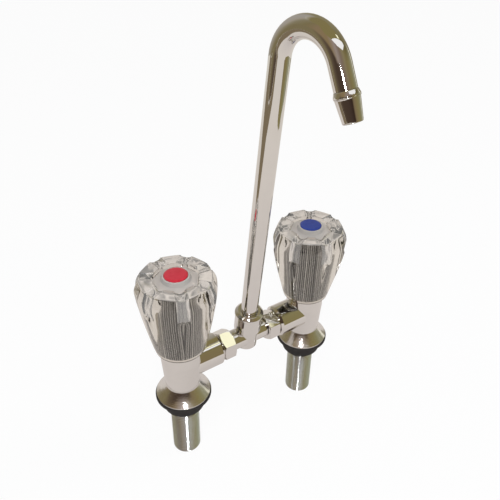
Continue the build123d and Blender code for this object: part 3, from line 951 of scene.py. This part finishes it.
# %% [markdown]
# ## White floor and background
#
# The photograph has a plain white ground. The floor and the world look white, but give only plain
# dim light. The floor keeps some real shading, so the tap keeps a faint shadow. White paper
# mirrored in chrome looks a little pink and grey.

# %% White floor and background
FLOOR_Z = cad_low.z
FLOOR_SHARE = 0.93
WHITE = (1, 1, 1, 1)
# Distance from the tap in metres and the colour of the paper there, as seen in the chrome. Nearer
# the tap it is darker, a painted shadow of the tap on the paper.
PAPER_COLOURS_AND_SHADOW = ((0.0, (0.72, 0.69, 0.67)), (0.12, (0.76, 0.73, 0.71)), (0.35, (0.79, 0.76, 0.73)),
                 (0.9, (0.80, 0.78, 0.74)))


def white_world():
    """World that looks white, also in mirrors, but lights the tap only dimly."""
    world = bpy.data.worlds.new("studio")
    bpy.context.scene.world = world
    world.use_nodes = True
    tree = world.node_tree
    tree.nodes.clear()
    dim = add_node(tree, "ShaderNodeBackground", {"Color": (0.95, 0.96, 1.0, 1), "Strength": 0.5})
    white = add_node(tree, "ShaderNodeBackground", {"Color": WHITE, "Strength": 1.0})
    out = add_node(tree, "ShaderNodeOutputWorld")
    tree.links.new(mix_shaders(tree, seen_directly(tree), dim, white), out.inputs["Surface"])


def white_floor():
    """Large paper floor. Its grid keeps the shading even."""
    bpy.ops.mesh.primitive_grid_add(size=8, location=(0, 0, FLOOR_Z))
    floor = bpy.context.object
    floor.name = "floor"
    material, tree, paper = new_material("white_paper")
    paper.inputs["Base Color"].default_value = (0.9, 0.9, 0.9, 1)
    paper.inputs["Roughness"].default_value = 0.9
    away = add_node(tree, "ShaderNodeVectorMath", {0: object_place(tree)}, operation="LENGTH")
    # In the chrome the paper is painted darker nearer the tap, as the tap's shadow on it.
    paper_and_shadow = colour_ramp(tree, away.outputs["Value"], PAPER_COLOURS_AND_SHADOW)
    glossy = add_node(tree, "ShaderNodeLightPath").outputs["Is Glossy Ray"]
    glow = add_node(tree, "ShaderNodeEmission",
                    {"Color": mix(tree, "RGBA", glossy, WHITE, paper_and_shadow), "Strength": 1.0})
    share = calculate(tree, "MULTIPLY", seen_directly(tree), FLOOR_SHARE)
    tree.links.new(mix_shaders(tree, share, paper, glow),
                   tree.nodes["Material Output"].inputs["Surface"])
    paint(material, "floor")


white_world()
white_floor()
print("floor height in mm", round(FLOOR_Z / MM, 1))

# %% [markdown]
# ## The room that the chrome mirrors
#
# Chrome only shows what stands round it. In the photograph the upright parts mirror white paper.
# The bend, the arms and the nuts mirror a room: pale at the back, olive brown at both sides, with
# somebody dark behind the camera and a bright strip high in front. A wall whose colour runs round
# the compass and a ceiling card make that room. The gap between them is the bright strip. The
# camera doesn't see these cards, and they cast no shadow.

# %% The room that the chrome mirrors
# Compass heading in degrees from the back of the tap, distance and height of the wall in metres.
WALL = ((0, 1.2, 2.6), (60, 1.1, 2.6), (100, 0.60, 1.2), (125, 0.44, 0.62), (160, 0.42, 0.62),
        (178, 0.9, 1.2), (200, 1.1, 1.5), (240, 0.9, 1.4), (262, 0.58, 0.9), (285, 0.62, 1.4),
        (305, 0.95, 2.6), (335, 1.2, 2.6))
# Compass heading and colour of the room there, low down and high up, as seen in the chrome.
LOW_COLOURS = ((0, (0.60, 0.58, 0.55)), (40, (0.66, 0.63, 0.58)), (72, (0.50, 0.47, 0.39)),
               (91, (0.46, 0.44, 0.36)), (93, (0.95, 0.94, 0.87)), (98, (0.95, 0.94, 0.87)),
               (100, (0.50, 0.49, 0.40)), (116, (0.56, 0.55, 0.46)), (126, (0.50, 0.48, 0.35)),
               (150, (0.49, 0.45, 0.30)), (174, (0.46, 0.40, 0.30)), (186, (0.20, 0.15, 0.12)),
               (215, (0.25, 0.20, 0.17)), (255, (0.27, 0.22, 0.18)), (276, (0.35, 0.30, 0.24)),
               (292, (0.46, 0.42, 0.31)), (312, (0.46, 0.42, 0.31)), (335, (0.55, 0.52, 0.45)))
HIGH_COLOURS = ((0, (0.60, 0.58, 0.55)), (20, (0.60, 0.58, 0.55)), (38, (0.50, 0.47, 0.36)),
                (60, (0.50, 0.47, 0.36)), (100, (0.46, 0.43, 0.32)), (122, (0.37, 0.34, 0.22)),
                (150, (0.44, 0.40, 0.26)), (172, (0.50, 0.46, 0.34)), (200, (0.46, 0.40, 0.35)),
                (226, (0.56, 0.51, 0.48)), (256, (0.50, 0.43, 0.31)), (284, (0.50, 0.43, 0.33)),
                (302, (0.46, 0.42, 0.30)), (322, (0.50, 0.47, 0.38)), (340, (0.60, 0.57, 0.52)))
# The low colours give way to the high ones between these heights, in metres.
LOW_TOP, HIGH_FOOT = 0.34, 0.52
# Share of the way from the ceiling's front to its back, and the colour there.
CEILING_COLOURS = ((0.0, (0.48, 0.44, 0.28)), (0.52, (0.48, 0.44, 0.30)),
                   (0.66, (0.64, 0.62, 0.57)), (1.0, (0.66, 0.64, 0.60)))
CEILING = ((-2.0, -0.62, 1.5), (2.0, -0.62, 1.5), (2.0, 2.0, 1.5), (-2.0, 2.0, 1.5))
# How much nearer to white a card looks through clear plastic.
CLEAR_SHARE = 0.1


def compass(heading, distance, z):
    """Point at a heading in degrees, a distance and a height."""
    turn = math.radians(heading)
    return (distance * math.sin(turn), distance * math.cos(turn), z)


def card(name, corners, faces):
    """A glowing card that the camera doesn't see. Gives its tree and the socket for its colour."""
    mesh = bpy.data.meshes.new(name)
    mesh.from_pydata(corners, [], faces)
    sheet = add_object(name, mesh)
    material, tree, shader = new_material(name)
    tree.nodes.remove(shader)
    path = add_node(tree, "ShaderNodeLightPath").outputs
    share = calculate(tree, "MULTIPLY", path["Is Transmission Ray"], CLEAR_SHARE)
    tint = add_node(tree, "ShaderNodeMix", {"Factor": share, "B": WHITE}, data_type="RGBA")
    glow = add_node(tree, "ShaderNodeEmission", {"Color": tint.outputs["Result"], "Strength": 1.0})
    tree.links.new(glow.outputs[0], tree.nodes["Material Output"].inputs["Surface"])
    mesh.materials.append(material)
    sheet.visible_camera = False
    sheet.visible_diffuse = False
    sheet.visible_shadow = False
    return tree, tint.inputs["A"]


def room_wall():
    """Folded wall round the tap. Its colour follows the compass, and changes from low to high."""
    corners = []
    for heading, distance, height in WALL:
        corners.append(compass(heading, distance, FLOOR_Z))
        corners.append(compass(heading, distance, FLOOR_Z + height))
    count = len(WALL)
    faces = [(2 * i, 2 * ((i + 1) % count), 2 * ((i + 1) % count) + 1, 2 * i + 1)
             for i in range(count)]
    tree, colour = card("room_wall", corners, faces)
    axes = split(tree, object_place(tree))
    # The arc tangent of x over y is the heading. As a fraction of a turn it runs from 0 to 1.
    turn = calculate(tree, "ARCTAN2", axes["X"], axes["Y"])
    heading = calculate(tree, "FRACT", calculate(tree, "DIVIDE", turn, 2 * math.pi))
    low, high = (
        colour_ramp(tree, heading, [(degrees / 360, shade) for degrees, shade in colours]
                    + [(1.0, colours[0][1])]) for colours in (LOW_COLOURS, HIGH_COLOURS))
    rise = stretch(tree, axes["Z"], LOW_TOP, HIGH_FOOT, interpolation_type="SMOOTHSTEP")
    tree.links.new(mix(tree, "RGBA", rise, low, high), colour)


def ceiling():
    """Ceiling card over the back of the room."""
    tree, colour = card("ceiling", CEILING, [(0, 1, 2, 3)])
    place = add_node(tree, "ShaderNodeTexCoord").outputs["Generated"]
    tree.links.new(colour_ramp(tree, split(tree, place)["Y"], CEILING_COLOURS), colour)


room_wall()
ceiling()
print("corners of the wall", len(WALL))

# %% [markdown]
# ## The shade and the room's lamp
#
# Two plain cards are left. A dark shade on the paper to the left of the tap draws the dark line
# down the spout. A cream lamp under the ceiling gives the bright face of the near union nut.

# %% The shade and the room's lamp
# Compass heading and distance of the shade's corners on the paper.
SHADE_OUTLINE = ((238, 0.88), (262, 0.57), (285, 0.61), (305, 0.93), (328, 1.12), (328, 0.80),
                 (312, 0.50), (297, 0.30), (285, 0.25), (262, 0.45), (240, 0.52))
SHADE_BROWN = (0.46, 0.41, 0.33)
ROOM_LAMP = ((0.52, -0.56, 1.49), (0.80, -0.56, 1.49), (0.80, -0.34, 1.49), (0.52, -0.34, 1.49))
ROOM_LAMP_CREAM = (0.98, 0.97, 0.84)


def plain_card(name, corners, shade):
    """Card of one colour."""
    _, colour = card(name, corners, [tuple(range(len(corners)))])
    colour.default_value = (*mirrored(shade), 1)


plain_card("table_shade", [compass(heading, distance, FLOOR_Z + 1 * MM)
                           for heading, distance in SHADE_OUTLINE], SHADE_BROWN)
plain_card("room_lamp", ROOM_LAMP, ROOM_LAMP_CREAM)
print("corners of the shade", len(SHADE_OUTLINE))

# %% [markdown]
# ## Lamps
#
# Soft boxes give the plain light. A small bright lamp beside the lens stands for the flash, which
# leaves hard white points on the nozzle, the flanges and the knobs and a line down each tail.

# %% Lamps
LAMP_AIM = Vector((0, 0, 80)) * MM


def lamp(name, place, size, power, mirrored_too):
    """Square lamp at a place in metres, aimed at the tap. Chrome mirrors it only if told so."""
    light = bpy.data.lights.new(name, "AREA")
    light.size = size
    light.energy = power
    box = add_object(name, light)
    box.location = place
    box.rotation_euler = (LAMP_AIM - Vector(place)).to_track_quat("-Z", "Y").to_euler()
    box.visible_glossy = mirrored_too


lamp("key_box", (-0.6, -0.7, 1.4), 0.5, 9, False)
lamp("fill_box", (0.9, -0.4, 1.2), 0.5, 4, False)
lamp("flash", (-0.167, -0.282, 0.297), 0.035, 0.24, True)

# %% [markdown]
# ## Finish
#
# The Standard view shows the colours as they were set.

# %% Finish
bpy.context.scene.view_settings.view_transform = "Standard"
